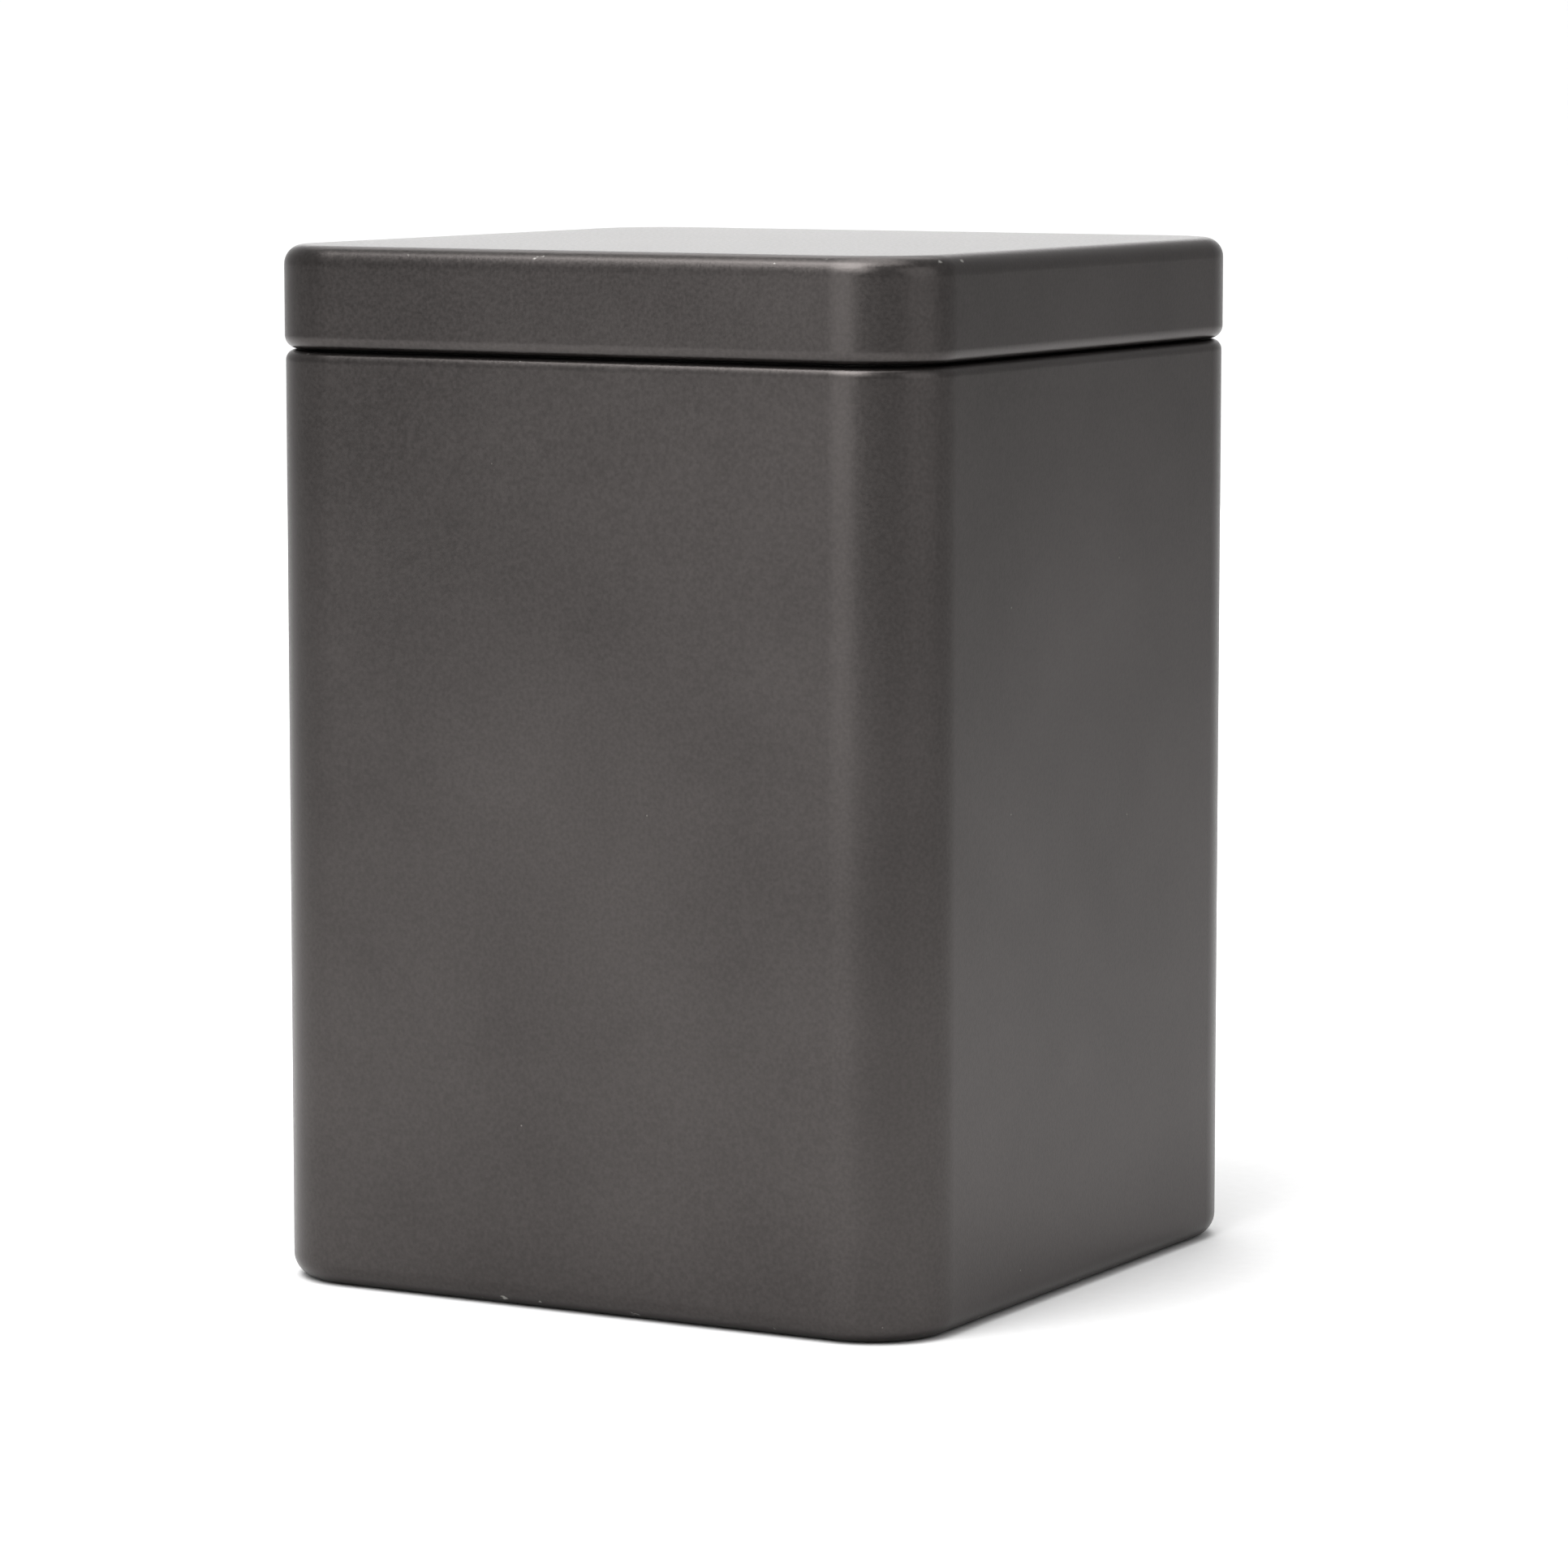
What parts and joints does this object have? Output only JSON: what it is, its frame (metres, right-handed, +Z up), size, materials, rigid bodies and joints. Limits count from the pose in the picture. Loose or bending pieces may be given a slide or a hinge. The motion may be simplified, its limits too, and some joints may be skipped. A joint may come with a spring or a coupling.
{
  "type": "square candle tin",
  "caption": "Tall square tinplate tin with rounded corners and a slip lid that sits flush with the body, for poured candles.",
  "frame": {"origin": "middle of the ring that the tin stands on, at the height of the surface under it", "axes": "+Z up, through the middle of the lid; -Y out of the front face; +X to the right of somebody who looks at the front; the side seam is on the +Y face"},
  "size_m": [0.0752, 0.0752, 0.105],
  "materials": {
    "tin_coat": "matte gunmetal coat with a fine metallic grain",
    "bare_tinplate": "clear-lacquered tinplate, satin",
    "sealing_compound": "dull dried compound"
  },
  "bodies": {
    "tin": {"body_wall": "tin_coat", "neck_collar": "bare_tinplate", "base_panel": "bare_tinplate", "base_seal": "sealing_compound", "side_seam_seal": "sealing_compound"},
    "lid": {"lid_shell": "tin_coat"}
  },
  "joints": [
    {"name": "lid_lift", "type": "slide", "parent": "tin", "child": "lid", "axis": [0, 0, 1], "range_m": [0, 0.12]}
  ]
}
